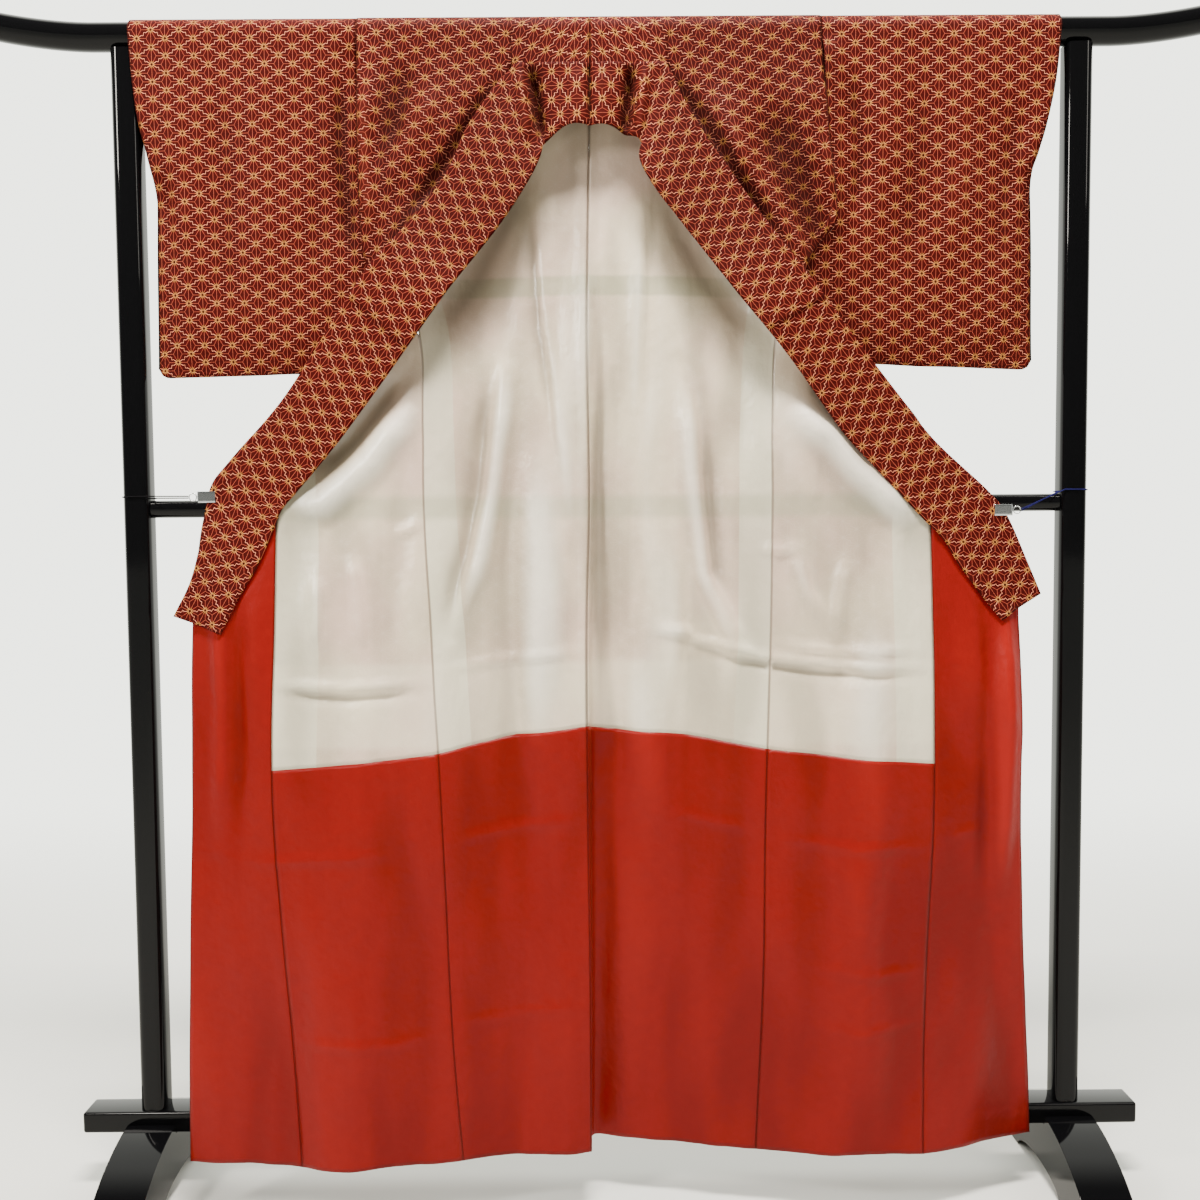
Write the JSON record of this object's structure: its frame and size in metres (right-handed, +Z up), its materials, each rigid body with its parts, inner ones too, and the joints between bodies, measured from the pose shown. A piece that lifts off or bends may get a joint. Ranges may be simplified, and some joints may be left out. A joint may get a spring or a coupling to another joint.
{
  "type": "komon kimono on a kimono stand",
  "caption": "Lined komon kimono hung open over the rail of a lacquered kimono stand, its fronts turned out and held to the posts by clips on thin cords.",
  "frame": {"origin": "on the floor, midway between the two posts and midway through the feet", "axes": "+X along the rail to the viewer's right, +Y away from the viewer who sees the opened fronts and the lining, +Z up"},
  "size_m": [1.6773, 0.39, 1.6319],
  "materials": {
    "komon_cloth": "fine matt crepe silk, brick red with pale pink and gold asanoha lattice",
    "white_lining": "pearl white silk with a soft sheen",
    "red_lining": "plain red silk with a soft sheen",
    "black_lacquer": "smooth glossy black lacquer",
    "bright_steel": "bright plated steel",
    "cord_left": "thin black cord",
    "cord_right": "thin navy cord"
  },
  "bodies": {
    "root": {"base_plank": "black_lacquer", "rail": "black_lacquer", "post_left": "black_lacquer", "post_right": "black_lacquer", "cross_rail": "black_lacquer", "foot_left": "black_lacquer", "foot_right": "black_lacquer", "body_left": "komon_cloth", "body_right": "komon_cloth", "okumi_left": "komon_cloth", "okumi_right": "komon_cloth", "sleeve_left": "komon_cloth", "sleeve_right": "komon_cloth", "collar": "komon_cloth", "over_collar": "komon_cloth", "lining_left": "white_lining", "lining_right": "white_lining", "hem_lining_back_left": "red_lining", "hem_lining_back_right": "red_lining", "hem_lining_front_left": "red_lining", "hem_lining_front_right": "red_lining", "okumi_lining_left": "red_lining", "okumi_lining_right": "red_lining", "clip_left": "bright_steel", "clip_right": "bright_steel", "ring_left": "bright_steel", "ring_right": "bright_steel", "cord_left": "cord_left", "cord_right": "cord_right"}
  },
  "joints": []
}
